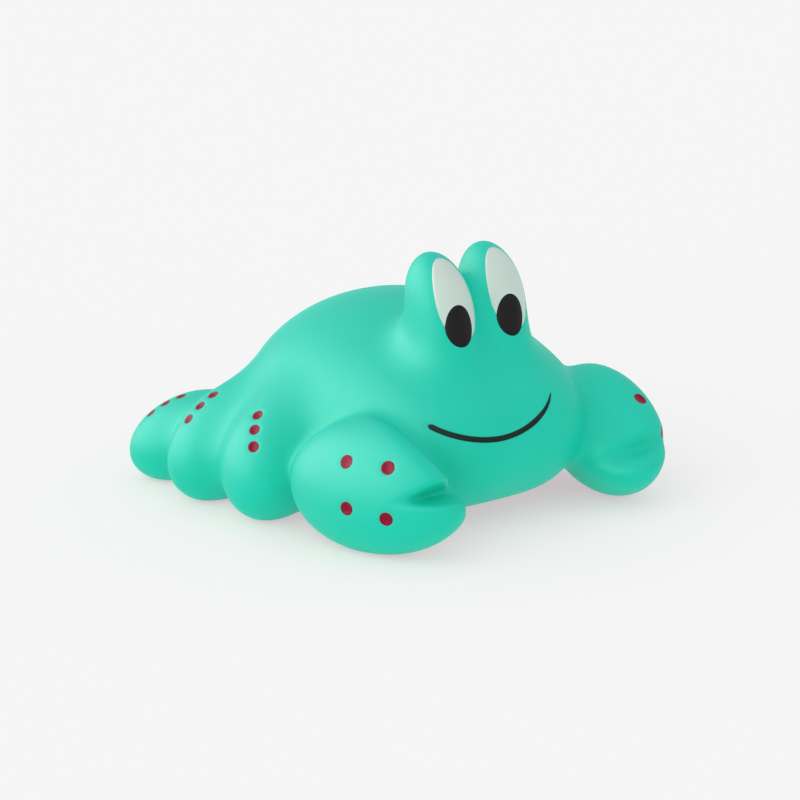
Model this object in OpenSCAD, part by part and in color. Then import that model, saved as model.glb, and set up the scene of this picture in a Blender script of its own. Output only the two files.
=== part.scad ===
// Squeaky bath toy: a hollow soft crab with painted eyes, smile and spots,
// and a reed squeaker pressed into a hole in its belly.
// The crab looks along -Y and stands on Z = 0. Its own right side is at -X.

/* [Body] */
// Width of the round body, without its legs
body_w = 71; // [67:0.5:75]
// Length of the round body, front to back
body_l = 63; // [59:0.5:67]
// Height of the full round whose upper part is the dome
body_h = 53; // [49:0.5:57]
// Place of the body's middle along Y
body_y = 6.5; // [4.5:0.1:8.5]
// Height of the body's middle
body_z = 18.2; // [16.2:0.2:20.2]
// Height of the flat belly above the floor
belly_z = 2; // [1.8:0.1:2.6]
// Roundness where the belly turns into the sides
belly_round = 6; // [4:0.5:8]

/* [Head] */
// Width of the head across the cheeks
head_w = 58; // [54:0.5:62]
// Width of the snout's straight middle
snout_w = 12; // [8:0.5:16]
// Length of the full round that the head is made from
head_l = 43; // [40:0.5:46]
// Height of the head's round
head_h = 33; // [31:0.5:35]
// Place of the head's middle along Y
head_y = -19; // [-21:0.1:-17]
// Height of the head's middle
head_z = 19.2; // [18:0.2:21]
// Roundness where the head turns into the body
neck_round = 16; // [13:0.5:19]

/* [Eye bumps] */
// Width of one eye bump
eye_w = 14.6; // [13.6:0.2:15.6]
// Depth of one eye bump, front to back
eye_l = 14.8; // [13.8:0.2:15.8]
// Height of the bumps' tips above the head's top
eye_rise = 23.4; // [22:0.2:25]
// Depth of the bumps' lower ends below the head's top
eye_deep = 0.4; // [0.2:0.1:1.2]
// Distance of each bump's middle from the middle plane
eye_x = 7.4; // [7:0.1:7.8]
// Distance of the bumps' middle in front of the head's middle
eye_ahead = 0.2; // [-0.8:0.1:1.2]
// Angle by which the bumps lean back
eye_lean_angle = 21; // [17:0.5:25]
// Angle by which the bumps lean apart
eye_splay_angle = 1.5; // [0:0.5:4]
// Roundness where a bump turns into the head
eye_round = 10; // [8:0.5:12]
// Roundness of the groove between the bumps
eye_groove_round = 5; // [4:0.5:7]

/* [Claws] */
// Width of a claw
claw_w = 23; // [22:0.2:24]
// Length of a claw
claw_l = 44; // [42.4:0.2:45.6]
// Height of a claw
claw_h = 29.8; // [29:0.2:30.6]
// Distance of a claw's middle from the middle plane
claw_x = 32.4; // [31:0.1:34]
// Place of the claws' middle along Y
claw_y = -29.4; // [-31:0.1:-28]
// Angle by which the claws point inwards
claw_toe_in_angle = 19.5; // [15:0.5:24]
// Angle by which a claw's tip is raised
claw_tip_up_angle = 4; // [1:0.5:7]
// Angle by which a claw's top leans inwards
claw_roll_angle = 14; // [9:0.5:18]
// Roundness where a claw turns into the body
claw_round = 4; // [3:0.5:6]
// Angle at which a claw's upper front slopes down to its tip
claw_slope_angle = 43; // [39:1:47]
// Distance of the slope from the claw's middle
claw_slope_at = 9.8; // [9:0.1:10.6]
// Roundness where the slope turns into the claw
claw_slope_round = 6; // [4:0.5:8]
// Depth of the notch between the pincers, at the tip's middle
notch_depth = 12; // [11:0.2:13]
// Depth of the notch below the claw's middle, on the outer side
notch_down = 4.6; // [3.8:0.1:5.4]
// Half of the angle at which the pincers open
notch_angle = 32; // [28:1:36]
// Angle by which the notch rises towards the tip
notch_rise_angle = 28; // [24:1:32]
// Angle by which the notch rises towards the outer side
notch_climb_angle = -5; // [-10:1:0]
// Angle at which the notch's root runs forward towards the inner side
notch_slant_angle = 12; // [6:1:18]
// Roundness of the notch's edges
notch_round = 2.2; // [1.6:0.2:3]
// Half width of the notch's rounded root
notch_root = 2; // [1.4:0.1:2.6]

/* [Legs: front, middle and rear] */
// Length of the legs' rounds
leg_l = [31.2, 33.6, 29]; // [26:0.2:36]
// Width of the legs' rounds
leg_w = [22.2, 19.2, 17.2]; // [15:0.2:24]
// Height of the legs' rounds
leg_h = [25.4, 24, 19]; // [17:0.2:27]
// Distance of the legs' middles from the middle plane
leg_x = [34.4, 34, 33.6]; // [31:0.2:37]
// Places of the legs' middles along Y
leg_y = [3.9, 21.2, 37.7]; // [2:0.1:40]
// Angles by which the legs point backwards
leg_back_angles = [-9.5, 11, 34.5]; // [-14:0.5:38]
// Angles by which the legs point down
leg_down_angles = [41, 32.5, 23.5]; // [20:0.5:45]
// Roundness where a leg turns into the body
leg_round = 7; // [5:0.5:9]

/* [Shell] */
// Depth by which the claws and legs are pressed flat where they stand
foot_press = 0.35; // [0.25:0.05:0.5]
// Thickness of the soft wall
wall = 2.2; // [1.8:0.1:2.6]
// Extra thickness of the claws' walls
claw_wall = 1.2; // [1:0.1:1.6]
// Size of the facets outside
skin_step = 3; // [2.9:0.1:4]
// Size of the facets inside
cavity_step = 4.4; // [4:0.1:5]

/* [Squeaker] */
// Diameter of the hole in the belly
hole_d = 16; // [14:0.5:18]
// Width of the flange's lip under the belly, past the hole
flange_lip = 2; // [1.4:0.1:3]
// Thickness of the flange
flange_t = 1.2; // [0.8:0.1:1.4]
// Width of the barb's lip behind the wall, past the hole
barb_lip = 0.8; // [0.5:0.1:1.2]
// Height of the barb
barb_h = 2.4; // [1.8:0.2:3]
// Wall of the plug's barrel
barrel_wall = 1.5; // [1.2:0.1:2]
// Height of the barrel above the belly's inner face
barrel_h = 6; // [5:0.2:8]
// Diameter of the bore that the reed pieces are pressed into
bore_d = 8; // [7.4:0.2:8.6]
// Width of the air channel
channel_w = 3; // [2.4:0.1:3.4]
// Depth of the air channel
channel_deep = 1.8; // [1.2:0.1:2.2]
// Thickness of the closed end of the channel
channel_end = 1.2; // [0.8:0.1:1.6]
// Length of the reed
reed_l = 12; // [10:0.2:13]
// Width of the reed
reed_w = 4.6; // [4:0.1:5]
// Thickness of the reed
reed_t = 0.25; // [0.2:0.05:0.3]
// Length of the reed that lies under the wedge
reed_root = 3.6; // [3:0.1:4.2]
// Free space on each side of the reed
reed_free = 0.25; // [0.24:0.01:0.32]

/* [Paint] */
// Thickness of a layer of paint
paint_t = 0.15; // [0.1:0.05:0.25]
// Width of the eye whites
white_w = 9.7; // [9:0.1:10.4]
// Height of the eye whites
white_h = 19; // [18:0.2:20]
// Height of the whites' middle above the bumps' middle
white_up = 1.3; // [0.8:0.1:1.8]
// Width of the pupils
pupil_w = 6.6; // [6:0.1:7.2]
// Height of the pupils
pupil_h = 9.4; // [8.8:0.1:10]
// Depth of the pupils' middle below the bumps' middle
pupil_down = 4.7; // [4.2:0.1:5.2]
// Sideways glance of both pupils
glance = 1.1; // [0:0.1:1.4]
// Width of the smile's line
smile_w = 1.3; // [0.9:0.1:1.8]
// Angles round the snout of the smile's right end, lowest point and left end
smile_turn_angles = [-59, -22, 30]; // [-64:1:36]
// Angles of the same three points above the head's middle
smile_lift_angles = [16, 8.5, 25.5]; // [6:0.5:28]
// Diameter of the spots on the claws
claw_spot_d = 3; // [2.4:0.1:3.6]
// Places of the right claw's spots along it, from its middle
right_spots_along = [-7.4, -7.4, 2.7, 1.9]; // [-9:0.1:5]
// Angles of the right claw's spots round it, upwards from straight out
right_spots_angles = [24, -34, 25, -25]; // [-40:1:40]
// Places of the left claw's spots along it, from its middle
left_spots_along = [-6.2, -9.4, 2.7, 1.9]; // [-10:0.1:5]
// Angles of the left claw's spots round it, upwards from straight out
left_spots_angles = [37, -12, 25, -25]; // [-40:1:45]
// Diameter of the spots on the legs
leg_spot_d = 2.4; // [2:0.1:2.8]
// Distance between the spots of a leg
leg_spot_gap = 3.9; // [3.2:0.1:4.6]
// Distance of a leg's upper spot from the leg's middle, inwards
leg_spot_in = 1.9; // [1:0.1:3]
// Angles by which the rows of spots leave the legs' crests
leg_spot_angles = [-23, 0, 0]; // [-32:1:10]

/* [Hidden] */
$fn = 48;

// Overrun of every cut past the surface that it opens
over = 1;
// Gap between pieces that are seated on one another
seat = 0.05;
// Gap between a layer of paint and the skin, and between two paints
paint_gap = 0.25;
// Distance from which paint is laid onto the skin
paint_reach = 14;
// Step used to measure the slope of the skin
slope_step = 0.05;
// The whites are narrower above and wider below by this share
egg_share = 0.1;
// Share of the glance by which the whites shift with the pupils
white_glance_share = 0.15;
// Rings of points from the middle of an eye's paint to its edge
eye_rings = 4;
// Depth by which the claws are drawn in, for the hollow inside them
$claw_inset = 0;
// Signs of the toy's right and left sides
RIGHT = -1;
LEFT = 1;

TEAL = [0.2, 0.79, 0.68];
WHITE = [0.9, 0.93, 0.91];
BLACK = [0.13, 0.12, 0.12];
RED = [0.58, 0.05, 0.2];
IVORY = [0.93, 0.91, 0.85];
AMBER = [0.85, 0.68, 0.38];

// Matrices that turn a vector about one axis
function about_x(a) = [[1, 0, 0], [0, cos(a), -sin(a)], [0, sin(a), cos(a)]];
function about_y(a) = [[cos(a), 0, sin(a)], [0, 1, 0], [-sin(a), 0, cos(a)]];
function about_z(a) = [[cos(a), -sin(a), 0], [sin(a), cos(a), 0], [0, 0, 1]];
function flipped(m) = [for (i = [0:2]) [for (j = [0:2]) m[j][i]]];

// A lobe is its middle, its half sizes and the matrix of its own axes
function lobe(at, size, turn = about_x(0)) = [at, size / 2, turn, flipped(turn)];
function into(p, lobe) = lobe[3] * (p - lobe[0]);
function out_of(p, lobe) = lobe[0] + lobe[2] * p;

// Height of a round's middle over the floor that presses its foot flat
function resting(size, turn) = norm([for (j = [0:2]) turn[2][j] * size[j] / 2]) - foot_press;

body = lobe([0, body_y, body_z], [body_w, body_l, body_h]);
head = lobe([0, head_y, head_z], [head_w - snout_w, head_l, head_h]);
head_top = head_z + head_h / 2;
eye = lobe([eye_x, head_y - eye_ahead, head_top + (eye_rise - eye_deep) / 2],
    [eye_w, eye_l, (eye_rise + eye_deep) / cos(eye_lean_angle)],
    about_y(eye_splay_angle) * about_x(-eye_lean_angle));
claw_size = [claw_w, claw_l, claw_h];
claw_turn = about_z(-claw_toe_in_angle) * about_x(-claw_tip_up_angle) * about_y(-claw_roll_angle);
claw = lobe([claw_x, claw_y, resting(claw_size, claw_turn)], claw_size, claw_turn);
legs = [for (i = [0:2])
    let (size = [leg_l[i], leg_w[i], leg_h[i]],
        turn = about_z(leg_back_angles[i]) * about_y(leg_down_angles[i]))
    lobe([leg_x[i], leg_y[i], resting(size, turn)], size, turn)];

// Distance of a point in a lobe's own axes from its surface, close to it: below zero inside
function from_round(p, half) =
    let (a = [p.x / half.x, p.y / half.y, p.z / half.z],
        b = [a.x / half.x, a.y / half.y, a.z / half.z],
        k = norm(a))
    k == 0 ? -min(half) : k * (k - 1) / norm(b);
function from_lobe(p, lobe) = from_round(into(p, lobe), lobe[1]);

// Smaller of two distances, with the crease between them filled to a round
function joined(a, b, round) =
    let (h = max(round - abs(a - b), 0) / round)
    min(a, b) - h * h * round / 4;
// First distance with the second one taken away, its edges rounded
function cut(a, b, round) = -joined(-a, b, round);
function joined_all(d, p, lobes, round, i = 0) =
    i == len(lobes) ? d : joined_all(joined(d, from_lobe(p, lobes[i]), round), p, lobes, round, i + 1);

// Distance from a claw: a round whose upper front is sloped off, with a wedge cut between its pincers
function from_claw(p) =
    let (q = into(p, claw),
        above_slope = q.z * cos(claw_slope_angle) - q.y * sin(claw_slope_angle) - claw_slope_at,
        sloped = cut(from_round(q, claw[1]), -above_slope, claw_slope_round),
        ahead = -q.y - (claw_l / 2 - notch_depth) + q.x * tan(notch_slant_angle),
        above = q.z + notch_down - (q.x - claw_w / 2) * tan(notch_climb_angle) - ahead * tan(notch_rise_angle),
        wedge = norm([above, notch_root]) * cos(notch_angle) - ahead * sin(notch_angle))
    cut(sloped, wedge, notch_round);

// Distance of a point from the toy's skin, alike on both sides
function from_skin(p) =
    let (m = [abs(p.x), p.y, p.z],
        other = [-m.x, m.y, m.z],
        snout = [max(m.x - snout_w / 2, 0), m.y, m.z],
        trunk = joined(from_lobe(m, body), from_lobe(snout, head), neck_round),
        torso = cut(trunk, m.z - belly_z, belly_round),
        limbs = joined(joined_all(torso, m, legs, leg_round), from_claw(m) + $claw_inset, claw_round),
        eyes = joined(from_lobe(m, eye), from_lobe(other, eye), eye_groove_round))
    joined(limbs, eyes, eye_round);

// Direction in which the distance from the skin grows
function slope(p) =
    let (s = slope_step,
        g = [for (d = [[s, 0, 0], [0, s, 0], [0, 0, s]]) from_skin(p + d) - from_skin(p - d)])
    g / norm(g);
// Point at a given height over the skin, reached from p along a direction
function laid(p, along, height, steps = 24) =
    steps == 0 ? p : laid(p + along * (from_skin(p) - height), along, height, steps - 1);

// Box that holds every lobe
function reach(lobe) = [for (row = lobe[2]) norm([for (j = [0:2]) row[j] * lobe[1][j]])];
all_lobes = concat([body, head, eye, claw], legs);
box_x = max([for (l = all_lobes) l[0].x + reach(l).x]) + snout_w / 2;
box_front = min([for (l = all_lobes) l[0].y - reach(l).y]);
box_back = max([for (l = all_lobes) l[0].y + reach(l).y]);
box_top = max([for (l = all_lobes) l[0].z + reach(l).z]);

// Corner places of a cell, and the pairs of corners that its edges join
CORNERS = [for (z = [0, 1]) for (y = [0, 1]) for (x = [0, 1]) [x, y, z]];
EDGES = [for (a = [0:7]) for (b = [a + 1:7]) if (norm(CORNERS[a] - CORNERS[b]) == 1) [a, b]];

function sum(values) = values * [for (v = values) 1];
function mean(points) = [for (k = [0:2]) sum([for (p = points) p[k]])] / len(points);

// Point of the skin in one cell: the mean of its edges' crossings, moved along the slope onto the skin
function cell_point(at, step, values, level) =
    let (crossings = [for (e = EDGES)
            let (a = values[e[0]], b = values[e[1]])
            if ((a < 0) != (b < 0)) CORNERS[e[0]] + (CORNERS[e[1]] - CORNERS[e[0]]) * a / (a - b)],
        rise = [for (k = [0:2]) sum([for (n = [0:7]) values[n] * (2 * CORNERS[n][k] - 1)])],
        up = rise / norm(rise))
    laid(at + step * mean(crossings), -up, level, 3);

// Closed net over the skin at a given height: one point in each cell that the skin crosses,
// and a pair of triangles across each edge of the grid that it crosses
module skin_net(level, step) {
    mid = ceil((box_x + step) / step);
    low = [-mid * step, box_front - 2 * step, -2 * step];
    ny = ceil((box_back - box_front) / step) + 4;
    nz = ceil(box_top / step) + 4;
    nx = 2 * mid;

    half = [for (k = [0:nz]) [for (j = [0:ny]) [for (i = [0:mid])
        from_skin([i * step, low.y + j * step, low.z + k * step]) - level]]];
    cells = [for (k = [0:nz - 1]) for (j = [0:ny - 1]) for (i = [0:nx - 1])
        let (v = [for (c = CORNERS) half[k + c.z][j + c.y][abs(i + c.x - mid)]])
        min(v) < 0 && max(v) >= 0 ? v : []];
    numbers = [for (c = 0, n = 0; c < len(cells); n = n + (len(cells[c]) > 0 ? 1 : 0), c = c + 1) n];
    points = [for (c = [0:len(cells) - 1]) if (len(cells[c]) > 0)
        let (i = c % nx, j = floor(c / nx) % ny, k = floor(c / nx / ny))
        cell_point(low + step * [i, j, k], step, cells[c], level)];

    strides = [1, nx, nx * ny];
    faces = [for (k = [1:nz - 1]) for (j = [1:ny - 1]) for (i = [1:nx - 1])
        let (here = half[k][j][abs(i - mid)] < 0,
            next = [half[k][j][abs(i + 1 - mid)] < 0, half[k][j + 1][abs(i - mid)] < 0,
                half[k + 1][j][abs(i - mid)] < 0],
            c = i + nx * (j + ny * k))
        for (axis = [0:2]) if (here != next[axis])
            let (u = strides[(axis + 1) % 3],
                v = strides[(axis + 2) % 3],
                ring = [numbers[c - u - v], numbers[c - v], numbers[c], numbers[c - u]],
                quad = here ? [for (n = [3:-1:0]) ring[n]] : ring,
                short = norm(points[quad[0]] - points[quad[2]]) < norm(points[quad[1]] - points[quad[3]]))
            each short ? [[quad[0], quad[1], quad[2]], [quad[0], quad[2], quad[3]]]
                : [[quad[1], quad[2], quad[3]], [quad[1], quad[3], quad[0]]]];
    polyhedron(points, faces);
}

// Hollow skin, flat under its feet, with the squeaker's hole in its belly
module shell() {
    color(TEAL) difference() {
        skin_net(0, skin_step);
        skin_net(-wall, cavity_step, $claw_inset = claw_wall);
        translate([-box_x, box_front, -skin_step])
            cube([2 * box_x, box_back - box_front, skin_step]);
        translate([0, body_y, belly_z - over])
            cylinder(d = hole_d, h = wall + 2 * over);
    }
}

// Heights of the squeaker's pieces
wall_top = belly_z + wall;
plug_bottom = belly_z - seat - flange_t;
barrel_top = wall_top + barrel_h;
reed_bottom = plug_bottom + flange_t + wall;
reed_top = reed_bottom + reed_l;
channel_top = reed_top + channel_end;
wedge_top = reed_bottom + reed_root;
press_d = bore_d - 2 * seat;
slot_t = reed_t + 2 * reed_free;

module at_squeaker() {
    translate([0, body_y, 0]) children();
}

// Flanged plug that snaps into the belly's hole, with a bore right through
module squeaker_plug() {
    neck = hole_d / 2 - seat;
    flange = hole_d / 2 + flange_lip;
    barb = hole_d / 2 + barb_lip;
    barrel = bore_d / 2 + barrel_wall;
    color(IVORY) at_squeaker() rotate_extrude() polygon([
        [bore_d / 2, plug_bottom],
        [flange, plug_bottom],
        [flange, plug_bottom + flange_t],
        [neck, plug_bottom + flange_t],
        [neck, wall_top + seat],
        [barb, wall_top + seat],
        [barrel, wall_top + barb_h],
        [barrel, barrel_top],
        [bore_d / 2, barrel_top]
    ]);
}

// Half of a round rod, on the side of the reed that is given
module half_rod(side, bottom, top) {
    intersection() {
        translate([0, 0, bottom]) cylinder(d = press_d, h = top - bottom);
        translate([-bore_d, side > 0 ? slot_t / 2 : -bore_d - slot_t / 2, bottom - over])
            cube([2 * bore_d, bore_d, top - bottom + 2 * over]);
    }
}

// Half-round rod with the air channel that the reed closes
module reed_channel() {
    color(IVORY) at_squeaker() difference() {
        half_rod(-1, plug_bottom, channel_top);
        translate([-channel_w / 2, -slot_t / 2 - channel_deep, plug_bottom - over])
            cube([channel_w, channel_deep + over, reed_top - plug_bottom + over]);
    }
}

// Half-round wedge that holds the reed's root against the channel
module reed_wedge() {
    color(IVORY) at_squeaker() half_rod(1, plug_bottom, wedge_top);
}

// Thin strip that buzzes over the channel
module reed() {
    color(AMBER) at_squeaker() translate([-reed_w / 2, -reed_t / 2, reed_bottom])
        cube([reed_w, reed_t, reed_l]);
}

// Closed film between two grids of points, the second one above the first. A grid is a list of rows.
// Given a pair of middle points, the film is round: its rows end where they begin, and the first
// row closes round the middle.
module film(under, upper, middle = []) {
    round = len(middle) > 0;
    rows = len(under);
    n = len(under[0]);
    m = rows * n;
    last = round ? n - 1 : n - 2;
    sheet = [for (r = [0:rows - 2]) for (i = [0:last])
        let (a = r * n + i, b = r * n + (i + 1) % n, c = b + n, d = a + n)
        each [[a, b, c], [a, c, d]]];
    far = (rows - 1) * n;
    outer_rim = [for (i = [0:last]) each walls(far + (i + 1) % n, far + i, m)];
    inner_rim = [for (i = [0:last]) each walls(i, (i + 1) % n, m)];
    side_rims = [for (r = [0:rows - 2]) each concat(
        walls((r + 1) * n, r * n, m), walls((r + 1) * n - 1, (r + 2) * n - 1, m))];
    fans = [for (i = [0:last]) each [[2 * m, (i + 1) % n, i], [2 * m + 1, m + i, m + (i + 1) % n]]];
    polyhedron(
        [each for (grid = [under, upper]) each grid, each middle],
        concat(sheet, [for (t = sheet) [m + t[0], m + t[2], m + t[1]]],
            outer_rim, round ? fans : concat(inner_rim, side_rims)));
}
function walls(a, b, m) = [[a, a + m, b], [b, a + m, b + m]];

// Point at a height over the skin before the left eye bump, from a place across and up its front
function before_eye(place, height) =
    laid(out_of([place.x, -paint_reach, place.y], eye), eye[2] * [0, 1, 0], height);

// Middles and outlines of a pupil and of the egg-shaped white under it
function pupil_middle(side) = [-side * glance, -pupil_down];
function pupil_outline(side, t) = pupil_middle(side) + [pupil_w * cos(t), pupil_h * sin(t)] / 2;
function white_middle(side) = [-side * glance * white_glance_share, white_up];
function white_outline(side, t) =
    white_middle(side) + [white_w * cos(t) * (1 - egg_share * sin(t)), white_h * sin(t)] / 2;
eye_turns = [345:-15:0];

module on_side(side) {
    mirror([side == RIGHT ? 1 : 0, 0, 0]) children();
}

// Film of paint on an eye bump, from a middle to an outline and at a height over the skin
module eye_film(side, middle, outline, height) {
    function sheet(h) = [for (r = [1:eye_rings]) [for (p = outline)
        before_eye(middle + (p - middle) * r / eye_rings, h)]];
    heights = [height, height + paint_t];
    on_side(side) film(sheet(heights[0]), sheet(heights[1]), [for (h = heights) before_eye(middle, h)]);
}
module eye_white(side) {
    color(WHITE) eye_film(side, white_middle(side), [for (t = eye_turns) white_outline(side, t)], paint_gap);
}
module pupil(side) {
    color(BLACK) eye_film(side, pupil_middle(side), [for (t = eye_turns) pupil_outline(side, t)],
        2 * paint_gap + paint_t);
}
module eye_white_right() { eye_white(RIGHT); }
module eye_white_left() { eye_white(LEFT); }
module pupil_right() { pupil(RIGHT); }
module pupil_left() { pupil(LEFT); }

// Direction from the head's middle to a point of the smile: it curves up from its lowest point to both ends
function smile_way(share) =
    let (turn = smile_turn_angles[0] + (smile_turn_angles[2] - smile_turn_angles[0]) * share,
        end = turn < smile_turn_angles[1] ? 0 : 2,
        bend = (turn - smile_turn_angles[1]) / (smile_turn_angles[end] - smile_turn_angles[1]),
        lift = smile_lift_angles[1] + (smile_lift_angles[end] - smile_lift_angles[1]) * bend * bend)
    [sin(turn) * cos(lift), -cos(turn) * cos(lift), sin(lift)];
function smile_point(share) =
    let (way = smile_way(share))
    laid(head[0] + way * head_w, -way, 0);

// Line of paint along the smile
module smile() {
    stations = 28;
    middle = [for (i = [0:stations]) smile_point(i / stations)];
    function edge(i, side, height) =
        let (a = middle[max(i - 1, 0)],
            b = middle[min(i + 1, stations)],
            n = slope(middle[i]),
            across = cross(n, (b - a) / norm(b - a)))
        laid(middle[i] + across * side * smile_w / 2 + n * smile_w, -n, height);
    function sheet(height) = [for (i = [0:stations]) [edge(i, 1, height), edge(i, -1, height)]];
    color(BLACK) film(sheet(paint_gap), sheet(paint_gap + paint_t));
}

// Round spot of paint that lies on the skin at a point
module spot(at, d) {
    n = slope(at);
    translate(at + n * paint_gap)
        rotate([0, acos(n.z), atan2(n.y, n.x)])
            cylinder(d = d, h = paint_t, $fn = 24);
}

// Spots on the outer side of a claw
module claw_spots(side, along, turn) {
    color(RED) on_side(side) for (i = [0:len(along) - 1])
        let (way = [cos(turn[i]), 0, sin(turn[i])])
        spot(laid(out_of([0, along[i], 0] + way * claw_h, claw), -claw[2] * way, 0), claw_spot_d);
}
module claw_spots_right() { claw_spots(RIGHT, right_spots_along, right_spots_angles); }
module claw_spots_left() { claw_spots(LEFT, left_spots_along, left_spots_angles); }

// Row of three spots that starts on the crest of a leg
module leg_spots(side, i) {
    way = [cos(leg_spot_angles[i]), sin(leg_spot_angles[i]), 0];
    color(RED) on_side(side) for (n = [0:2])
        spot(laid(out_of([-leg_spot_in, 0, leg_h[i]] + n * leg_spot_gap * way, legs[i]),
            legs[i][2] * [0, 0, -1], 0), leg_spot_d);
}
module front_leg_spots_left() { leg_spots(LEFT, 0); }
module middle_leg_spots_left() { leg_spots(LEFT, 1); }
module rear_leg_spots_left() { leg_spots(LEFT, 2); }
module front_leg_spots_right() { leg_spots(RIGHT, 0); }
module middle_leg_spots_right() { leg_spots(RIGHT, 1); }
module rear_leg_spots_right() { leg_spots(RIGHT, 2); }

shell();
squeaker_plug();
reed_channel();
reed_wedge();
reed();
eye_white_right();
eye_white_left();
pupil_right();
pupil_left();
smile();
claw_spots_right();
claw_spots_left();
front_leg_spots_right();
front_leg_spots_left();
middle_leg_spots_right();
middle_leg_spots_left();
rear_leg_spots_right();
rear_leg_spots_left();
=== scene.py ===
import itertools
import math

import bpy
from mathutils import Matrix
import numpy as np


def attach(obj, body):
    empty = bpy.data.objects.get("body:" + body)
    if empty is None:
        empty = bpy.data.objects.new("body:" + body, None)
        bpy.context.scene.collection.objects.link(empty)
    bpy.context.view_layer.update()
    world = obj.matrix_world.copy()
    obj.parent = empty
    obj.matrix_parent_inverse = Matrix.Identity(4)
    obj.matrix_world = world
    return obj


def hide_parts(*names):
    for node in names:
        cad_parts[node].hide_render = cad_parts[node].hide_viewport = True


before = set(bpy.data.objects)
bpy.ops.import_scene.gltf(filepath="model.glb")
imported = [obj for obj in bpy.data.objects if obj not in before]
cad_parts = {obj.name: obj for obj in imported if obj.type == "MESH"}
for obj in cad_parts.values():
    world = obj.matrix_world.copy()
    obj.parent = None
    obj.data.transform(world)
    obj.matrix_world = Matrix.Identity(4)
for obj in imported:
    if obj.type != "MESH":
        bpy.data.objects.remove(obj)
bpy.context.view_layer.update()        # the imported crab: fixed nodes on the bodies "toy" and "reed"
mm = 0.001               # every shape below is worked out in millimetres
print("frame loaded:", len(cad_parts), "nodes")


# Turns of a vector about one axis, for an angle in degrees
def aboutX(angle):
    c, s = math.cos(math.radians(angle)), math.sin(math.radians(angle))
    return np.array([[1, 0, 0], [0, c, -s], [0, s, c]])


def aboutY(angle):
    c, s = math.cos(math.radians(angle)), math.sin(math.radians(angle))
    return np.array([[c, 0, s], [0, 1, 0], [-s, 0, c]])


def aboutZ(angle):
    c, s = math.cos(math.radians(angle)), math.sin(math.radians(angle))
    return np.array([[c, -s, 0], [s, c, 0], [0, 0, 1]])


# The moulded skin: rounds that melt into one another. The crab looks along -Y.
bodyShape = {"size": (71, 63, 53), "at": (0, 6.5, 18.2), "bellyHeight": 2, "bellyRound": 6}
headShape = {"size": (58, 43, 33), "at": (0, -19, 19.2), "snoutWidth": 12, "neckRound": 16}
eyeShape = {"size": (14.6, 14.8, 25.5), "at": (7.4, -19.2, 47.2), "leanBack": 21, "splay": 1.5,
            "round": 10, "grooveRound": 5}
clawShape = {"size": (23, 44, 29.8), "at": (32.4, -29.4, 14.42), "toeIn": 19.5, "tipUp": 4, "roll": -14,
             "round": 4}
slopeShapes = {"right": {"tilt": 36, "inward": 30, "at": 10, "round": 4},
               "left": {"tilt": 43, "inward": 0, "at": 9.8, "round": 6}}
notchShapes = {"right": {"depth": 10, "up": -3.4, "angle": 20, "rise": 14, "sink": -12, "slant": 18,
                         "round": 1.3, "root": 0.9},
               "left": {"depth": 12, "up": -4.6, "angle": 32, "rise": 28, "sink": -5, "slant": 12,
                        "round": 2.2, "root": 2}}
legShapes = [
    {"size": (31.2, 22.2, 25.4), "at": (34.4, 3.9, 13.67), "back": -9.5, "down": 41},
    {"size": (33.6, 19.2, 24), "at": (34, 21.2, 13.21), "back": 11, "down": 32.5},
    {"size": (29, 17.2, 19), "at": (33.6, 37.7, 10.1), "back": 34.5, "down": 23.5},
]
legRound = 7
footRound = 0.8          # soft edge round the flats that the toy stands on
tiny = 1e-9              # in place of zero, so that nothing divides by it


# A lobe is a middle, three half sizes and a turn
def lobe(shape, turn=np.eye(3), narrower=0):
    half = np.array(shape["size"], float) / 2
    half[0] -= narrower / 2
    return {"at": np.array(shape["at"], float), "half": half, "turn": turn}


bodyLobe = lobe(bodyShape)
headLobe = lobe(headShape, narrower=headShape["snoutWidth"])
eyeLobe = lobe(eyeShape, aboutY(eyeShape["splay"]) @ aboutX(-eyeShape["leanBack"]))
clawTurn = aboutZ(-clawShape["toeIn"]) @ aboutX(-clawShape["tipUp"]) @ aboutY(clawShape["roll"])
clawLobe = lobe(clawShape, clawTurn)
legLobes = [lobe(leg, aboutZ(leg["back"]) @ aboutY(leg["down"])) for leg in legShapes]


# Points from the toy's frame into a lobe's own frame, and back
def intoLobe(points, shape):
    return (points - shape["at"]) @ shape["turn"]


def outOfLobe(points, shape):
    return points @ shape["turn"].T + shape["at"]


# Distance from an ellipsoid, close to it: k (k - 1) / |p / half^2| with k = |p / half|
def fromLobe(points, shape):
    scaled = intoLobe(points, shape) / shape["half"]
    k = np.linalg.norm(scaled, axis=-1)
    slope = np.linalg.norm(scaled / shape["half"], axis=-1)
    return np.where(slope > 0, k * (k - 1) / np.maximum(slope, tiny), -shape["half"].min())


# Smaller of two distances, less a parabola where they are nearly alike, so that the crease is filled
def joined(a, b, radius):
    h = np.maximum(radius - np.abs(a - b), 0) / radius
    return np.minimum(a, b) - h * h * radius / 4


# What is left of the first form when the second is taken away, with the edge rounded in the same way
def cutBy(a, b, radius):
    return -joined(-a, b, radius)


# Wedge with a rounded root between the two fingers of a claw, for points in the claw's own frame
def fromNotch(own, notch):
    tan = {name: math.tan(math.radians(notch[name])) for name in ("slant", "sink", "rise")}
    ahead = -own[..., 1] - (clawLobe["half"][1] - notch["depth"]) + own[..., 0] * tan["slant"]
    fall = (own[..., 0] - clawLobe["half"][0]) * tan["sink"]
    above = own[..., 2] - notch["up"] - fall - ahead * tan["rise"]
    angle = math.radians(notch["angle"])
    return np.hypot(above, notch["root"]) * math.cos(angle) - ahead * math.sin(angle)


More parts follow.
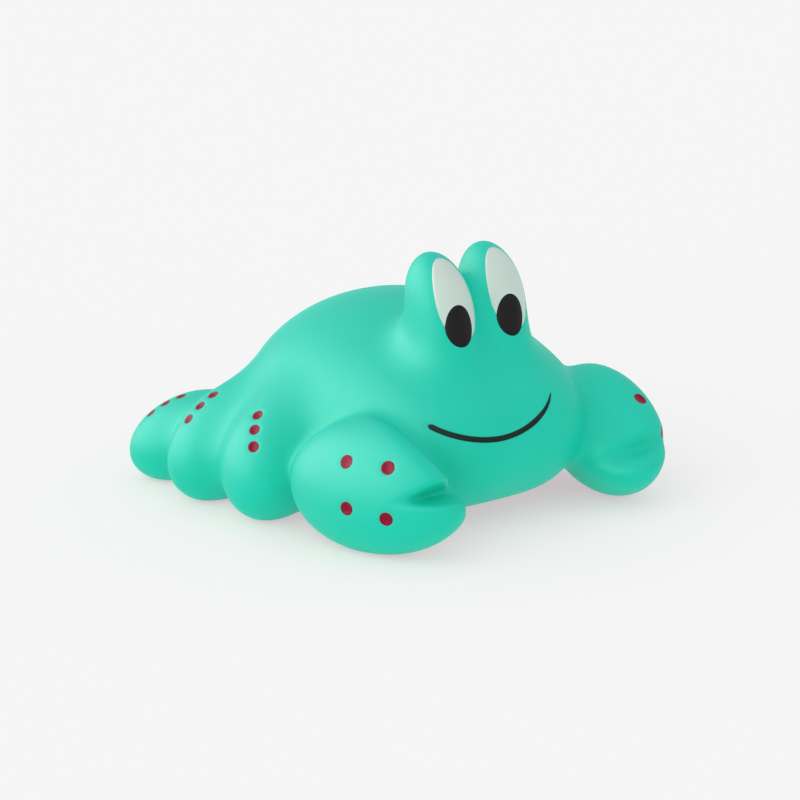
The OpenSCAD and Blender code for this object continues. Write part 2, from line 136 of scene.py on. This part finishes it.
# A claw is a round whose upper front is planed off along a slope, so that its upper finger is the shorter.
# The right claw has the crisper fingers.
def fromClaw(points, side):
    own = intoLobe(points, clawLobe)
    slope, notch = slopeShapes[side], notchShapes[side]
    tilt, inward = math.radians(slope["tilt"]), math.radians(slope["inward"])
    ahead, up = math.sin(tilt) * math.cos(inward), math.cos(tilt) * math.cos(inward)
    over = own @ (-math.sin(inward), -ahead, up) - slope["at"]
    planed = cutBy(fromLobe(points, clawLobe), -over, slope["round"])
    return cutBy(planed, fromNotch(own, notch), notch["round"])


# Distance of points from the whole skin, alike on both sides apart from the claws
def fromSkin(points):
    side = np.array(points, float)
    side[..., 0] = np.abs(points[..., 0])
    other = side * (-1, 1, 1)
    snout = side.copy()
    snout[..., 0] = np.maximum(side[..., 0] - headShape["snoutWidth"] / 2, 0)
    skin = joined(fromLobe(side, bodyLobe), fromLobe(snout, headLobe), headShape["neckRound"])
    skin = cutBy(skin, side[..., 2] - bodyShape["bellyHeight"], bodyShape["bellyRound"])
    for leg in legLobes:
        skin = joined(skin, fromLobe(side, leg), legRound)
    claws = np.where(points[..., 0] < 0, fromClaw(side, "right"), fromClaw(side, "left"))
    skin = joined(skin, claws, clawShape["round"])
    eyes = joined(fromLobe(side, eyeLobe), fromLobe(other, eyeLobe), eyeShape["grooveRound"])
    skin = joined(skin, eyes, eyeShape["round"])
    return cutBy(skin, side[..., 2], footRound)


# Slope of a distance: four samples at the corners of a tiny tetrahedron
def slopeOf(field, points, reach=0.02):
    corners = np.array([[1, -1, -1], [-1, -1, 1], [-1, 1, -1], [1, 1, 1]])
    slope = sum(corner * field(points + reach * corner)[..., None] for corner in corners)
    return slope / np.linalg.norm(slope, axis=-1, keepdims=True)


# Points moved along their slope until they lie at a height over a surface
def settle(field, points, height=0, rounds=3):
    for _ in range(rounds):
        points = points - slopeOf(field, points) * (field(points) - height)[..., None]
    return points


# Points moved along given ways until they lie at a height over the skin
def layOnto(points, ways, height=0, rounds=30):
    for _ in range(rounds):
        points = points + ways * (fromSkin(points) - height)[..., None]
    return points


# Net over a surface: one point in each grid cell that the surface crosses, at the mean of its edge crossings,
# and one quad across each grid edge that the surface crosses. The grid is alike on both sides of x = 0.
def surfaceNet(field, reach, step):
    half = math.ceil(reach["x"] / step)
    xs = step * np.arange(-half, half + 1)
    ys = np.arange(reach["y"][0], reach["y"][1] + step, step)
    zs = np.arange(reach["z"][0], reach["z"][1] + step, step)
    plane = np.stack(np.meshgrid(ys, zs, indexing="ij"), -1)
    values = np.stack([field(np.insert(plane, 0, x, axis=-1)) for x in xs])
    low = np.array([xs[0], ys[0], zs[0]])
    inside = values < 0

    places = np.array(list(itertools.product((0, 1), repeat=3)))
    cells = [n - 1 for n in values.shape]
    corners = [tuple(slice(c[k], c[k] + cells[k]) for k in range(3)) for c in places]
    count = sum(inside[c].astype(np.int8) for c in corners)
    active = (count > 0) & (count < len(places))
    number = np.full(cells, -1)
    number[active] = np.arange(active.sum())
    atCorner = [values[c][active] for c in corners]
    total = np.zeros((active.sum(), 3))
    crossings = np.zeros(active.sum())
    for a, b in itertools.combinations(range(len(places)), 2):
        way = places[b] - places[a]
        if np.abs(way).sum() != 1:       # not an edge of the cell
            continue
        crossed = (atCorner[a] < 0) != (atCorner[b] < 0)
        share = np.where(crossed, atCorner[a] / np.where(crossed, atCorner[a] - atCorner[b], 1), 0)
        total += np.where(crossed[:, None], places[a] + share[:, None] * way, 0)
        crossings += crossed
    points = low + step * (np.argwhere(active) + total / crossings[:, None])

    quads = []
    steps = np.eye(3, dtype=int)
    for axis in range(3):
        u, v = steps[(axis + 1) % 3], steps[(axis + 2) % 3]
        here = np.take(inside, range(cells[axis]), axis)
        ahead = np.take(inside, range(1, cells[axis] + 1), axis)
        edge = np.argwhere(here != ahead)
        outward = here[tuple(edge.T)]
        ring = np.stack([number[tuple((edge - s).T)] for s in (u + v, v, 0 * u, u)], -1)
        quads.append(np.where(outward[:, None], ring, ring[:, ::-1]))
    return points, np.concatenate(quads)


# Net made even: each point moves towards the mean of its neighbours, then back onto the surface
def relaxed(field, points, quads, rounds):
    start = quads.ravel()
    end = np.roll(quads, -1, axis=1).ravel()
    own, neighbour = np.concatenate((start, end)), np.concatenate((end, start))
    weight = np.bincount(own, minlength=len(points))[:, None]
    for _ in range(rounds):
        total = np.stack([np.bincount(own, points[neighbour, k], len(points)) for k in range(3)], -1)
        points = settle(field, (points + total / weight) / 2, rounds=1)
    return points


# Mesh from points in millimetres and arrays of quads, triangles or longer rings
def meshOf(name, points, *faceArrays):
    mesh = bpy.data.meshes.new(name)
    loops = np.concatenate([f.ravel() for f in faceArrays])
    sizes = np.concatenate([np.full(len(f), f.shape[1]) for f in faceArrays])
    mesh.vertices.add(len(points))
    mesh.vertices.foreach_set("co", (points * mm).astype(np.float32).ravel())
    mesh.loops.add(len(loops))
    mesh.loops.foreach_set("vertex_index", loops.astype(np.int32))
    mesh.polygons.add(len(sizes))
    mesh.polygons.foreach_set("loop_start", (np.cumsum(sizes) - sizes).astype(np.int32))
    mesh.polygons.foreach_set("use_smooth", np.ones(len(sizes), bool))
    mesh.update(calc_edges=True)
    return mesh


# A piece on the toy's body, in place of a node
def addPiece(mesh, material, slot, node):
    piece = bpy.data.objects.new(mesh.name, mesh)
    bpy.context.scene.collection.objects.link(piece)
    mesh.materials.clear()
    mesh.materials.append(material)
    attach(piece, "toy")
    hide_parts(node)
    return piece


# Quads between the rows of a grid whose rows close on themselves
def ringQuads(rows, columns):
    at = np.arange(rows * columns).reshape(rows, columns)
    following = np.roll(at, -1, axis=1)
    return np.stack((at[:-1], following[:-1], following[1:], at[1:]), -1).reshape(-1, 4)


# Spots: small painted dimples. A claw spot has a place along the claw and an angle round it.
spotShape = {"clawSpot": 3, "legSpot": 2.4, "dimpleDepth": 0.5, "dimpleRim": 0.3, "dimpleRound": 0.35,
             "clawAlong": {"right": (-7.4, -7.4, 2.7, 1.9), "left": (-6.2, -9.4, 2.7, 1.9)},
             "clawTurn": {"right": (24, -34, 25, -25), "left": (37, -12, 25, -25)},
             "legCount": 3, "legGap": 3.9, "legStart": -1.9, "legTurn": (-23, 0, 0),
             "columns": 32, "rings": 8}
sides = {"right": -1, "left": 1}


# Points well out from the claw's own length, laid onto the skin straight towards it
def clawSpotPlaces(side):
    turn = np.radians(spotShape["clawTurn"][side])
    out = np.stack((np.cos(turn), 0 * turn, np.sin(turn)), -1)
    along = np.array(spotShape["clawAlong"][side])[:, None] * (0, 1, 0)
    start = outOfLobe(along + out * clawShape["size"][2], clawLobe)
    flip = np.array([sides[side], 1, 1])
    return layOnto(start * flip, -out @ clawLobe["turn"].T * flip)


# A straight row above the leg, laid down onto the skin
def legSpotPlaces(side, leg):
    turn = math.radians(spotShape["legTurn"][leg])
    way = np.array([math.cos(turn), math.sin(turn), 0])
    row = np.arange(spotShape["legCount"])[:, None] * spotShape["legGap"] * way
    start = outOfLobe(row + (spotShape["legStart"], 0, legShapes[leg]["size"][2]), legLobes[leg])
    return layOnto(start, legLobes[leg]["turn"] @ (0, 0, -1)) * (sides[side], 1, 1)


spotGroups = {}          # node name to the spots' middles and their diameter
for side in sides:
    spotGroups["claw_spots_" + side] = (clawSpotPlaces(side), spotShape["clawSpot"])
    for leg, name in enumerate(("front", "middle", "rear")):
        spotGroups[name + "_leg_spots_" + side] = (legSpotPlaces(side, leg), spotShape["legSpot"])
spotMiddles = np.concatenate([middles for middles, _ in spotGroups.values()])
spotSizes = np.concatenate([np.full(len(middles), d) for middles, d in spotGroups.values()])
spotSlopes = slopeOf(fromSkin, spotMiddles)


# Radius of the ball whose cap has a given half width and depth
def capBall(halfWidth, depth):
    return (halfWidth ** 2 + depth ** 2) / (2 * depth)


# A dimple is cut by a ball whose cap is as deep as the dimple and reaches a rim past the spot
dimpleBalls = capBall(spotSizes / 2 + spotShape["dimpleRim"], spotShape["dimpleDepth"])
dimpleMiddles = spotMiddles + spotSlopes * (dimpleBalls - spotShape["dimpleDepth"])[:, None]


# Smile: a line round the snout, lowest near its middle, pressed a little into the skin
smileShape = {"turns": (-59, -22, 30), "lifts": (16, 8.5, 25.5), "width": 1.22, "grooveDepth": 0.15,
              "thickness": 0.14, "stations": 96, "pointsAcross": 9,
              "firstTaper": 0.02, "lastTaper": 0.25, "leastShare": 0.02}


# Points of the smile: the angle above the head's middle grows with the square of the way from the lowest
def smileLine(shares):
    first, lowest, last = smileShape["turns"]
    lowestLift = smileShape["lifts"][1]
    turn = first + (last - first) * shares
    end = np.where(turn < lowest, 0, 2)
    bend = (turn - lowest) / (np.array(smileShape["turns"])[end] - lowest)
    lift = lowestLift + (np.array(smileShape["lifts"])[end] - lowestLift) * bend ** 2
    turn, lift = np.radians(turn), np.radians(lift)
    way = np.stack((np.sin(turn) * np.cos(lift), -np.cos(turn) * np.cos(lift), np.sin(lift)), -1)
    return layOnto(headLobe["at"] + way * headShape["size"][0], -way)


smileShares = np.linspace(0, 1, smileShape["stations"])
smileMiddle = smileLine(smileShares)
smileSlope = slopeOf(fromSkin, smileMiddle)
grooveBall = capBall(smileShape["width"] / 2, smileShape["grooveDepth"])
grooveMiddles = smileMiddle + smileSlope * (grooveBall - smileShape["grooveDepth"])


# Distance from the nearest of many balls, worked out in blocks of points
def fromNearest(points, middles, sizes, block=20000):
    flat = points.reshape(-1, 3)
    parts = [(np.linalg.norm(flat[i:i + block, None] - middles, axis=-1) - sizes).min(1)
             for i in range(0, len(flat), block)]
    return np.concatenate(parts).reshape(points.shape[:-1])


# The skin with its dimples and the smile's groove
def fromDetail(points):
    skin = cutBy(fromSkin(points), fromNearest(points, dimpleMiddles, dimpleBalls), spotShape["dimpleRound"])
    return cutBy(skin, fromNearest(points, grooveMiddles, grooveBall), spotShape["dimpleRound"])


# Node groups: effects that several finishes share
def newGroup(name, inputs, outputs):
    group = bpy.data.node_groups.new(name, "ShaderNodeTree")
    for socket, value in inputs.items():
        made = group.interface.new_socket(socket, in_out="INPUT", socket_type="NodeSocketFloat")
        made.default_value = value
    for socket in outputs:
        group.interface.new_socket(socket, in_out="OUTPUT", socket_type="NodeSocketFloat")
    return group, group.nodes.new("NodeGroupInput"), group.nodes.new("NodeGroupOutput")


# Mottle: slow clouds and fine grains, both from Object coordinates, between 0 and 1
def makeMottle():
    group, given, out = newGroup("mottle", {"Cloud Scale": 60, "Grain Scale": 1500}, ("Cloud", "Grain"))
    place = group.nodes.new("ShaderNodeTexCoord")
    for label, detail in (("Cloud", 3), ("Grain", 2)):
        noise = group.nodes.new("ShaderNodeTexNoise")
        noise.inputs["Detail"].default_value = detail
        group.links.new(place.outputs["Object"], noise.inputs["Vector"])
        group.links.new(given.outputs[label + " Scale"], noise.inputs["Scale"])
        group.links.new(noise.outputs["Fac"], out.inputs[label])
    return group


mottle = makeMottle()


# A finish: two near colours mixed by the clouds, roughness that wanders, and a fine grain as bump
def makeFinish(name, look):
    material = bpy.data.materials.new(name)
    material.use_nodes = True
    tree = material.node_tree
    shader = tree.nodes["Principled BSDF"]
    marks = tree.nodes.new("ShaderNodeGroup")
    marks.node_tree = mottle
    marks.inputs["Cloud Scale"].default_value = look["cloudScale"]
    marks.inputs["Grain Scale"].default_value = look["grainScale"]
    colour = tree.nodes.new("ShaderNodeMix")
    colour.data_type = "RGBA"
    colour.inputs["A"].default_value = (*look["colours"][0], 1)
    colour.inputs["B"].default_value = (*look["colours"][1], 1)
    tree.links.new(marks.outputs["Cloud"], colour.inputs["Factor"])
    tree.links.new(colour.outputs["Result"], shader.inputs["Base Color"])
    rough = tree.nodes.new("ShaderNodeMapRange")
    rough.inputs["To Min"].default_value, rough.inputs["To Max"].default_value = look["roughness"]
    tree.links.new(marks.outputs["Cloud"], rough.inputs["Value"])
    tree.links.new(rough.outputs["Result"], shader.inputs["Roughness"])
    bump = tree.nodes.new("ShaderNodeBump")
    bump.inputs["Strength"].default_value = look["bump"]
    bump.inputs["Distance"].default_value = look["bumpDepth"] * mm
    tree.links.new(marks.outputs["Grain"], bump.inputs["Height"])
    tree.links.new(bump.outputs["Normal"], shader.inputs["Normal"])
    for socket, value in look.get("fixed", {}).items():
        shader.inputs[socket].default_value = value
    return material


vinylLook = {"colours": ((0.002, 0.6, 0.44), (0.004, 0.65, 0.487)), "cloudScale": 55, "grainScale": 1400,
             "roughness": (0.47, 0.55), "bump": 0.25, "bumpDepth": 0.03,
             "fixed": {"Specular IOR Level": 0.27, "Subsurface Weight": 0.1, "Subsurface Scale": 0.003,
                       "Subsurface Radius": (0.3, 1, 0.8)}}
whiteLook = {"colours": ((0.6, 0.7, 0.655), (0.645, 0.75, 0.7)), "cloudScale": 160, "grainScale": 2200,
             "roughness": (0.34, 0.42), "bump": 0.15, "bumpDepth": 0.02}
blackLook = {"colours": ((0.004, 0.004, 0.0035), (0.006, 0.006, 0.0055)), "cloudScale": 260,
             "grainScale": 2600, "roughness": (0.38, 0.48), "bump": 0.15, "bumpDepth": 0.02,
             "fixed": {"Specular IOR Level": 0.2}}
smileLook = {**blackLook, "colours": ((0.003, 0.011, 0.009), (0.005, 0.017, 0.014))}
redLook = {"colours": ((0.25, 0.001, 0.022), (0.32, 0.002, 0.031)), "cloudScale": 500, "grainScale": 2600,
           "roughness": (0.26, 0.36), "bump": 0.15, "bumpDepth": 0.02, "fixed": {"Specular IOR Level": 0.12}}
plasticLook = {"colours": ((0.78, 0.75, 0.66), (0.84, 0.81, 0.73)), "cloudScale": 220, "grainScale": 1800,
               "roughness": (0.42, 0.52), "bump": 0.2, "bumpDepth": 0.02}
filmLook = {"colours": ((0.62, 0.38, 0.12), (0.7, 0.45, 0.17)), "cloudScale": 300, "grainScale": 2500,
            "roughness": (0.2, 0.28), "bump": 0.1, "bumpDepth": 0.01}

vinyl = makeFinish("teal vinyl", vinylLook)
whitePaint = makeFinish("eye white paint", whiteLook)
blackPaint = makeFinish("black paint", blackLook)
smilePaint = makeFinish("smile paint", smileLook)
redPaint = makeFinish("red spot paint", redLook)
plugPlastic = makeFinish("squeaker plastic", plasticLook)
reedFilm = makeFinish("reed film", filmLook)
for node, finish in (("squeaker_plug", plugPlastic), ("reed_channel", plugPlastic),
                     ("reed_wedge", plugPlastic), ("reed", reedFilm)):
    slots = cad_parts[node].data.materials
    slots.clear()
    slots.append(finish)
print("finishes made:", len(bpy.data.materials))


# Shell: a fine net outside, a coarser one inside, and the squeaker's hole through the belly
shellShape = {"wall": 2.2, "step": 0.62, "quickStep": 1.2, "cavityStep": 2.4, "relax": 4,
              "reach": {"x": 52, "y": (-52, 52), "z": (-3, 63)},
              "holeDiameter": 16, "holeMargin": 1, "holeColumns": 96}


# The hollow: the skin moved inwards by the wall
def fromCavity(points):
    return fromSkin(points) + shellShape["wall"]


def makeShell():
    step = shellShape["step"]
    points, quads = surfaceNet(fromSkin, shellShape["reach"], step)
    points = relaxed(fromSkin, settle(fromSkin, points), quads, shellShape["relax"])
    points = settle(fromDetail, points)
    cavity, cavityQuads = surfaceNet(fromCavity, shellShape["reach"], shellShape["cavityStep"])
    cavity = relaxed(fromCavity, settle(fromCavity, cavity), cavityQuads, shellShape["relax"])
    allQuads = np.concatenate((quads, cavityQuads[:, ::-1] + len(points)))
    return meshOf("crabShell", np.concatenate((points, cavity)), allQuads)


# Cylinder as a grid of two rings with a cap on each
def makeHoleTool():
    columns, margin = shellShape["holeColumns"], shellShape["holeMargin"]
    turn = np.linspace(0, 2 * np.pi, columns, endpoint=False)
    radius = shellShape["holeDiameter"] / 2
    ring = np.stack((radius * np.cos(turn), radius * np.sin(turn) + bodyShape["at"][1], 0 * turn), -1)
    low = bodyShape["bellyHeight"] - margin
    high = bodyShape["bellyHeight"] + shellShape["wall"] + margin
    points = np.concatenate((ring + (0, 0, low), ring + (0, 0, high)))
    caps = np.arange(2 * columns).reshape(2, columns)
    mesh = meshOf("holeTool", points, ringQuads(2, columns), caps[:1, ::-1], caps[1:])
    tool = bpy.data.objects.new("holeTool", mesh)
    bpy.context.scene.collection.objects.link(tool)
    return tool


shell = addPiece(makeShell(), vinyl, "soft_vinyl", "shell")
print("shell net:", len(shell.data.polygons), "faces")
holeTool = makeHoleTool()
drill = shell.modifiers.new("belly hole", "BOOLEAN")
drill.operation = "DIFFERENCE"
drill.object = holeTool
bpy.context.view_layer.update()
drilled = bpy.data.meshes.new_from_object(shell.evaluated_get(bpy.context.evaluated_depsgraph_get()))
shell.modifiers.clear()
shell.data = drilled
shell.data.name = "crabShell"
bpy.data.objects.remove(holeTool)
print("shell drilled:", len(shell.data.polygons), "faces")


# Paint: how thick it lies, how far it goes into the skin, and how late it thins towards its edge
paintShape = {"thickness": 0.06, "sunk": 0.25, "edgePower": 8, "startAhead": 14, "rounds": 6}


# Share of the paint's thickness, from 1 in the middle to 0 at the edge: the root of 1 less a high power
def paintSwell(shares):
    return np.sqrt(1 - shares ** paintShape["edgePower"])


# Layer of paint: rows of points that are laid over and under the skin, closed round their edge.
# The rows run from the middle out over the top, round the rim and back to the middle underneath.
def paintedDisc(outline, middle, lay, rings, top):
    shares = np.concatenate((np.linspace(0, 1, rings + 1)[1:], np.linspace(1, 0, rings + 1)[1:-1]))
    under = -paintShape["sunk"]
    heights = np.where(np.arange(len(shares)) < rings, top * paintSwell(shares), under)
    places = middle + shares[:, None, None] * (outline - middle)
    points = np.concatenate([lay(row, height) for row, height in zip(places, heights)])
    ends = lay(np.array([middle]), top), lay(np.array([middle]), under)
    rows, columns = len(shares), len(outline)
    first, last = np.arange(columns), np.arange(columns) + (rows - 1) * columns
    poles = np.full(columns, rows * columns), np.full(columns, rows * columns + 1)
    fans = np.concatenate((np.stack((poles[0], first, np.roll(first, -1)), -1),
                           np.stack((poles[1], np.roll(last, -1), last), -1)))
    quads = ringQuads(rows, columns)[:, ::-1]
    return np.concatenate((points, *ends)), quads, fans


# Eyes: an egg-shaped white with a pupil over it, both a little towards the toy's right
eyePaint = {"whiteSize": (9.7, 19), "whiteUp": 1.3, "eggShare": 0.1, "whiteGlance": 0.165,
            "pupilSize": (6.6, 9.4), "pupilDown": 4.7, "pupilGlance": 1.1, "rings": 24, "columns": 72}


# Places across and up an eye bump, laid onto it from ahead
def layOnEye(places, height):
    start = np.stack((places[:, 0], np.full(len(places), -paintShape["startAhead"]), places[:, 1]), -1)
    return layOnto(outOfLobe(start, eyeLobe), eyeLobe["turn"] @ (0, 1, 0), height)


# The white is an ellipse whose width shrinks towards its top by a share of the height, the pupil a plain one
def makeEye(side):
    turn = np.linspace(0, 2 * np.pi, eyePaint["columns"], endpoint=False)
    circle = np.stack((np.cos(turn), np.sin(turn)), -1)
    egg = circle * np.stack((1 - eyePaint["eggShare"] * np.sin(turn), np.ones(len(turn))), -1)
    whiteMiddle = np.array([-sides[side] * eyePaint["whiteGlance"], eyePaint["whiteUp"]])
    white = whiteMiddle + egg * np.array(eyePaint["whiteSize"]) / 2
    pupilMiddle = np.array([-sides[side] * eyePaint["pupilGlance"], -eyePaint["pupilDown"]])
    pupil = pupilMiddle + circle * np.array(eyePaint["pupilSize"]) / 2
    thick = paintShape["thickness"]
    for name, node, outline, middle, top, paint, slot in (
            ("eyeWhite", "eye_white_", white, white.mean(0), thick, whitePaint, "white_paint"),
            ("pupil", "pupil_", pupil, pupilMiddle, 2 * thick, blackPaint, "black_paint")):
        points, quads, fans = paintedDisc(outline, middle, layOnEye, eyePaint["rings"], top)
        if side == "right":
            points, quads, fans = points * (-1, 1, 1), quads[:, ::-1], fans[:, ::-1]
        addPiece(meshOf(name + side.capitalize(), points, quads, fans), paint, slot, node + side)


for side in sides:
    makeEye(side)
print("eyes painted")


# Spots: discs that line the dimples
def makeSpots(node, middles, size):
    turn = np.linspace(0, 2 * np.pi, spotShape["columns"], endpoint=False)
    outline = np.stack((np.cos(turn), np.sin(turn)), -1) * size / 2
    points, quads, fans = [], [], []
    for middle, slope in zip(middles, slopeOf(fromSkin, middles)):
        across = np.cross(slope, (0, 0, 1))
        across /= np.linalg.norm(across)
        up = np.cross(across, slope)

        def lay(places, height):
            start = middle + places[:, :1] * across + places[:, 1:] * up
            return settle(fromDetail, start, height, paintShape["rounds"])

        disc, discQuads, discFans = paintedDisc(outline, np.zeros(2), lay, spotShape["rings"],
                                                paintShape["thickness"])
        quads.append(discQuads[:, ::-1] + len(points) * len(disc))
        fans.append(discFans[:, ::-1] + len(points) * len(disc))
        points.append(disc)
    words = node.split("_")
    name = words[0] + "".join(word.capitalize() for word in words[1:])
    addPiece(meshOf(name, np.concatenate(points), np.concatenate(quads), np.concatenate(fans)),
             redPaint, "red_paint", node)


for node, (middles, size) in spotGroups.items():
    makeSpots(node, middles, size)
print("spots painted:", len(spotMiddles))


# Smile: a closed band carried along its line. Its width falls with the root of the way to either end,
# over a short stretch at the first end and a long one at the last.
def makeSmile():
    stations, pointsAcross = smileShape["stations"], smileShape["pointsAcross"]
    along = np.gradient(smileMiddle, axis=0)
    along /= np.linalg.norm(along, axis=-1, keepdims=True)
    across = np.cross(smileSlope, along)
    taper = np.minimum(smileShares / smileShape["firstTaper"], (1 - smileShares) / smileShape["lastTaper"])
    width = smileShape["width"] / 2 * np.sqrt(np.clip(taper, smileShape["leastShare"], 1))
    span = np.concatenate((np.linspace(-1, 1, pointsAcross), np.linspace(1, -1, pointsAcross)[1:-1]))
    columns = len(span)
    onTop = np.arange(columns) < pointsAcross
    heights = np.where(onTop, smileShape["thickness"] * paintSwell(span), -paintShape["sunk"])
    rows = smileMiddle[:, None] + across[:, None] * (span * width[:, None])[..., None]
    points = settle(fromDetail, rows.reshape(-1, 3), np.tile(heights, stations), paintShape["rounds"])
    caps = np.stack((np.arange(columns), np.arange(columns)[::-1] + (stations - 1) * columns))
    quads = ringQuads(stations, columns)
    addPiece(meshOf("smileLine", points, quads[:, ::-1], caps), smilePaint, "black_paint", "smile")


makeSmile()
print("smile painted")


# Floor: a flat grid, its size in metres. Its own glow and the light on it add up to a pale grey.
floorLook = {"size": 6, "gridPoints": 13, "seenGlow": (0.546, 0.256, 0.38), "thrownGlow": (0.42, 0.32, 0.375),
             "finish": {"colours": ((0.45, 0.8, 0.65), (0.45, 0.8, 0.65)), "cloudScale": 3, "grainScale": 400,
                        "roughness": (0.8, 0.9), "bump": 0.02, "bumpDepth": 0.02,
                        "fixed": {"Specular IOR Level": 0, "Emission Strength": 1}}}


def makeFloor():
    edge, gridPoints = floorLook["size"] / 2 / mm, floorLook["gridPoints"]
    across = np.linspace(-edge, edge, gridPoints)
    x, y = np.meshgrid(across, across, indexing="ij")
    points = np.stack((x, y, 0 * x), -1).reshape(-1, 3)
    at = np.arange(len(points)).reshape(gridPoints, gridPoints)
    quads = np.stack((at[:-1, :-1], at[1:, :-1], at[1:, 1:], at[:-1, 1:]), -1).reshape(-1, 4)
    floor = bpy.data.objects.new("floor", meshOf("floor", points, quads))
    bpy.context.scene.collection.objects.link(floor)
    floor.data.materials.append(makeFloorFinish())


# The floor's finish glows in one colour where it is seen, and in another in the light that it throws back.
# It is clear from below, so that the belly shows there.
def makeFloorFinish():
    paper = makeFinish("pale floor", floorLook["finish"])
    nodes, links = paper.node_tree.nodes, paper.node_tree.links
    shader = nodes["Principled BSDF"]
    rays = nodes.new("ShaderNodeLightPath")
    direct = nodes.new("ShaderNodeMath")         # both add, and the second stops at 1
    seen = nodes.new("ShaderNodeMath")
    seen.use_clamp = True
    links.new(rays.outputs["Is Camera Ray"], direct.inputs[0])
    links.new(rays.outputs["Is Glossy Ray"], direct.inputs[1])
    links.new(direct.outputs["Value"], seen.inputs[0])
    links.new(rays.outputs["Is Transmission Ray"], seen.inputs[1])
    glow = nodes.new("ShaderNodeMix")
    glow.data_type = "RGBA"
    glow.inputs["A"].default_value = (*floorLook["thrownGlow"], 1)
    glow.inputs["B"].default_value = (*floorLook["seenGlow"], 1)
    links.new(seen.outputs["Value"], glow.inputs["Factor"])
    links.new(glow.outputs["Result"], shader.inputs["Emission Color"])
    geometry = nodes.new("ShaderNodeNewGeometry")
    clear = nodes.new("ShaderNodeBsdfTransparent")
    either = nodes.new("ShaderNodeMixShader")
    links.new(geometry.outputs["Backfacing"], either.inputs["Fac"])
    links.new(shader.outputs["BSDF"], either.inputs[1])
    links.new(clear.outputs["BSDF"], either.inputs[2])
    links.new(either.outputs["Shader"], nodes["Material Output"].inputs["Surface"])
    return paper


# Light: an even sky, one soft lamp from the toy's right, and two that are seen in the gloss only
skyStrength = 0.75
keyLight = {"strength": 0.5, "spread": 70, "azimuth": -85, "elevation": 30}
sheenLights = [
    {"strength": 1.5, "spread": 140, "azimuth": -95, "elevation": 55},
    {"strength": 8.5, "spread": 100, "azimuth": -122, "elevation": 12},
]


# Direction from the origin to a camera or lamp at an azimuth and elevation; azimuth 0 stands at -Y
def backWay(azimuth, elevation):
    a, e = math.radians(azimuth), math.radians(elevation)
    return np.array([math.sin(a) * math.cos(e), -math.cos(a) * math.cos(e), math.sin(e)])


# Ways to the right and up, as upright as can be, for what looks against a way
def rightAndUp(back):
    right = np.cross((0, 0, 1), back)
    right /= np.linalg.norm(right)
    return right, np.cross(back, right)


# Turns a lamp or camera so that its own +Z points along a way
def aim(thing, back, place=(0, 0, 0)):
    turned = np.eye(4)
    turned[:3] = np.stack((*rightAndUp(back), back, np.array(place, float)), -1)
    thing.matrix_world = Matrix(turned.tolist())


def makeSun(name, look):
    sun = bpy.data.lights.new(name, "SUN")
    sun.energy = look["strength"]
    sun.angle = math.radians(look["spread"])
    lamp = bpy.data.objects.new(name, sun)
    bpy.context.scene.collection.objects.link(lamp)
    aim(lamp, backWay(look["azimuth"], look["elevation"]))
    return lamp


def makeLight():
    world = bpy.data.worlds.new("studio")
    bpy.context.scene.world = world
    world.use_nodes = True
    sky = world.node_tree.nodes["Background"]
    sky.inputs["Color"].default_value = (1, 1, 1, 1)
    sky.inputs["Strength"].default_value = skyStrength
    makeSun("key", keyLight)
    for look in sheenLights:
        makeSun("sheen", look).visible_diffuse = False


# Camera: its distance, direction and scale fit the photograph's outline of the toy
photoView = {"azimuth": -39.6, "elevation": 16.5, "distance": 900, "pixelsPerMm": 4.4, "framePixels": 800,
             "aimPixel": (395.5, 482.2), "aimY": 5.1, "sensor": 36, "clip": (0.05, 50)}


def makeCamera():
    data = bpy.data.cameras.new("photo view")
    frameWidth = photoView["framePixels"] / photoView["pixelsPerMm"]     # in millimetres, at the toy
    data.sensor_width = photoView["sensor"]
    data.lens = photoView["sensor"] * photoView["distance"] / frameWidth
    data.clip_start, data.clip_end = photoView["clip"]
    camera = bpy.data.objects.new("photo view", data)
    bpy.context.scene.collection.objects.link(camera)
    back = backWay(photoView["azimuth"], photoView["elevation"])
    right, up = rightAndUp(back)
    off = (np.array(photoView["aimPixel"]) - photoView["framePixels"] / 2) / photoView["pixelsPerMm"]
    place = back * photoView["distance"] - right * off[0] + up * off[1] + (0, photoView["aimY"], 0)
    aim(camera, back, place * mm)
    bpy.context.scene.camera = camera


makeFloor()
makeLight()
makeCamera()
bpy.context.scene.view_settings.view_transform = "Standard"
print("stage set")
